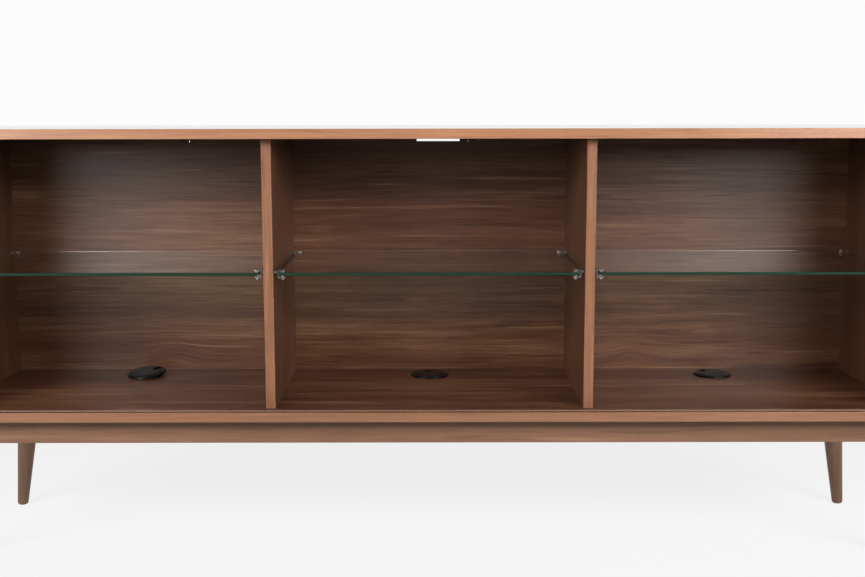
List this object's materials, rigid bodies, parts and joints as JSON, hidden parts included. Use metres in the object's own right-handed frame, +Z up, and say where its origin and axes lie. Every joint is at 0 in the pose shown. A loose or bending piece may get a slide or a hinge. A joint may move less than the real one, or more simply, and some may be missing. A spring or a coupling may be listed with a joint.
{
  "type": "media cabinet",
  "caption": "Low open media cabinet in walnut veneer with clamped glass shelves, cable grommets and splayed turned legs.",
  "frame": {"origin": "middle of the footprint, on the floor", "axes": "+X along the width to the right, +Y from the open front to the back, +Z up"},
  "size_m": [1.876, 0.425, 0.847],
  "materials": {
    "walnut_veneer": "satin lacquered walnut veneer",
    "walnut_back": "satin lacquered walnut veneer, grain along the width",
    "walnut_edge": "satin walnut edge band",
    "walnut_solid": "satin lacquered walnut",
    "pale_hardwood": "bare hardwood",
    "steel": "zinc plated",
    "glass": "clear float glass with green polished edges",
    "nickel": "bright nickel plate",
    "clear_rubber": "clear soft pad",
    "black_plastic": "satin moulded black"
  },
  "bodies": {
    "carcass": {"top_panel": "walnut_veneer", "bottom_panel": "walnut_veneer", "left_side_panel": "walnut_veneer", "right_side_panel": "walnut_veneer", "left_divider": "walnut_veneer", "right_divider": "walnut_veneer", "left_back_panel": "walnut_back", "centre_back_panel": "walnut_back", "right_back_panel": "walnut_back", "top_edge_band": "walnut_edge", "bottom_edge_band": "walnut_edge", "left_side_edge_band": "walnut_edge", "right_side_edge_band": "walnut_edge", "left_divider_edge_band": "walnut_edge", "right_divider_edge_band": "walnut_edge", "front_rail": "walnut_solid", "rear_rail": "walnut_solid", "left_rail": "walnut_solid", "right_rail": "walnut_solid", "left_cross_rail": "walnut_solid", "right_cross_rail": "walnut_solid", "front_left_leg": "walnut_solid", "front_right_leg": "walnut_solid", "rear_left_leg": "walnut_solid", "rear_right_leg": "walnut_solid", "corner_blocks": "pale_hardwood", "carcass_dowels": "pale_hardwood", "leg_plates": "steel", "leg_hanger_bolts": "steel", "leg_plate_screws": "steel", "back_panel_screws": "steel", "base_screws": "steel", "left_shelf_clamps": "nickel", "centre_shelf_clamps": "nickel", "right_shelf_clamps": "nickel", "track_pins": "nickel", "clamp_pads": "clear_rubber", "left_grommet_liner": "black_plastic", "centre_grommet_liner": "black_plastic", "right_grommet_liner": "black_plastic", "track_stops": "black_plastic"},
    "left_shelf": {"left_glass_shelf": "glass"},
    "centre_shelf": {"centre_glass_shelf": "glass"},
    "right_shelf": {"right_glass_shelf": "glass"},
    "left_cap": {"left_grommet_cap": "black_plastic"},
    "centre_cap": {"centre_grommet_cap": "black_plastic"},
    "right_cap": {"right_grommet_cap": "black_plastic"},
    "left_front_left_screw": {"left_bay_front_left_thumb_screw": "nickel"},
    "left_rear_left_screw": {"left_bay_rear_left_thumb_screw": "nickel"},
    "left_front_right_screw": {"left_bay_front_right_thumb_screw": "nickel"},
    "left_rear_right_screw": {"left_bay_rear_right_thumb_screw": "nickel"},
    "centre_front_left_screw": {"centre_bay_front_left_thumb_screw": "nickel"},
    "centre_rear_left_screw": {"centre_bay_rear_left_thumb_screw": "nickel"},
    "centre_front_right_screw": {"centre_bay_front_right_thumb_screw": "nickel"},
    "centre_rear_right_screw": {"centre_bay_rear_right_thumb_screw": "nickel"},
    "right_front_left_screw": {"right_bay_front_left_thumb_screw": "nickel"},
    "right_rear_left_screw": {"right_bay_rear_left_thumb_screw": "nickel"},
    "right_front_right_screw": {"right_bay_front_right_thumb_screw": "nickel"},
    "right_rear_right_screw": {"right_bay_rear_right_thumb_screw": "nickel"}
  },
  "joints": [
    {"name": "left_shelf_slide", "type": "slide", "parent": "carcass", "child": "left_shelf", "axis": [0, -1, 0], "range_m": [0, 0.3]},
    {"name": "centre_shelf_slide", "type": "slide", "parent": "carcass", "child": "centre_shelf", "axis": [0, -1, 0], "range_m": [0, 0.3]},
    {"name": "right_shelf_slide", "type": "slide", "parent": "carcass", "child": "right_shelf", "axis": [0, -1, 0], "range_m": [0, 0.3]},
    {"name": "left_cap_turn", "type": "hinge", "parent": "carcass", "child": "left_cap", "pos_m": [-0.61979, 0.12588, 0.31048], "axis": [-0.0565, -0.1158, 0.9917], "continuous": true},
    {"name": "centre_cap_turn", "type": "hinge", "parent": "carcass", "child": "centre_cap", "pos_m": [0, 0.1275, 0.305], "axis": [0, 0, 1], "continuous": true},
    {"name": "right_cap_turn", "type": "hinge", "parent": "carcass", "child": "right_cap", "pos_m": [0.619, 0.1275, 0.305], "axis": [0, 0, 1], "continuous": true},
    {"name": "left_front_left_screw_turn", "type": "hinge", "parent": "carcass", "child": "left_front_left_screw", "pos_m": [-0.905, -0.1475, 0.5658], "axis": [0, 0, -1], "range_deg": [0, 720]},
    {"name": "left_rear_left_screw_turn", "type": "hinge", "parent": "carcass", "child": "left_rear_left_screw", "pos_m": [-0.905, 0.1725, 0.5658], "axis": [0, 0, -1], "range_deg": [0, 720]},
    {"name": "left_front_right_screw_turn", "type": "hinge", "parent": "carcass", "child": "left_front_right_screw", "pos_m": [-0.333, -0.1475, 0.5658], "axis": [0, 0, -1], "range_deg": [0, 720]},
    {"name": "left_rear_right_screw_turn", "type": "hinge", "parent": "carcass", "child": "left_rear_right_screw", "pos_m": [-0.333, 0.1725, 0.5658], "axis": [0, 0, -1], "range_deg": [0, 720]},
    {"name": "centre_front_left_screw_turn", "type": "hinge", "parent": "carcass", "child": "centre_front_left_screw", "pos_m": [-0.286, -0.1475, 0.5658], "axis": [0, 0, -1], "range_deg": [0, 720]},
    {"name": "centre_rear_left_screw_turn", "type": "hinge", "parent": "carcass", "child": "centre_rear_left_screw", "pos_m": [-0.286, 0.1725, 0.5658], "axis": [0, 0, -1], "range_deg": [0, 720]},
    {"name": "centre_front_right_screw_turn", "type": "hinge", "parent": "carcass", "child": "centre_front_right_screw", "pos_m": [0.286, -0.1475, 0.5658], "axis": [0, 0, -1], "range_deg": [0, 720]},
    {"name": "centre_rear_right_screw_turn", "type": "hinge", "parent": "carcass", "child": "centre_rear_right_screw", "pos_m": [0.286, 0.1725, 0.5658], "axis": [0, 0, -1], "range_deg": [0, 720]},
    {"name": "right_front_left_screw_turn", "type": "hinge", "parent": "carcass", "child": "right_front_left_screw", "pos_m": [0.333, -0.1475, 0.5658], "axis": [0, 0, -1], "range_deg": [0, 720]},
    {"name": "right_rear_left_screw_turn", "type": "hinge", "parent": "carcass", "child": "right_rear_left_screw", "pos_m": [0.333, 0.1725, 0.5658], "axis": [0, 0, -1], "range_deg": [0, 720]},
    {"name": "right_front_right_screw_turn", "type": "hinge", "parent": "carcass", "child": "right_front_right_screw", "pos_m": [0.905, -0.1475, 0.5658], "axis": [0, 0, -1], "range_deg": [0, 720]},
    {"name": "right_rear_right_screw_turn", "type": "hinge", "parent": "carcass", "child": "right_rear_right_screw", "pos_m": [0.905, 0.1725, 0.5658], "axis": [0, 0, -1], "range_deg": [0, 720]}
  ]
}
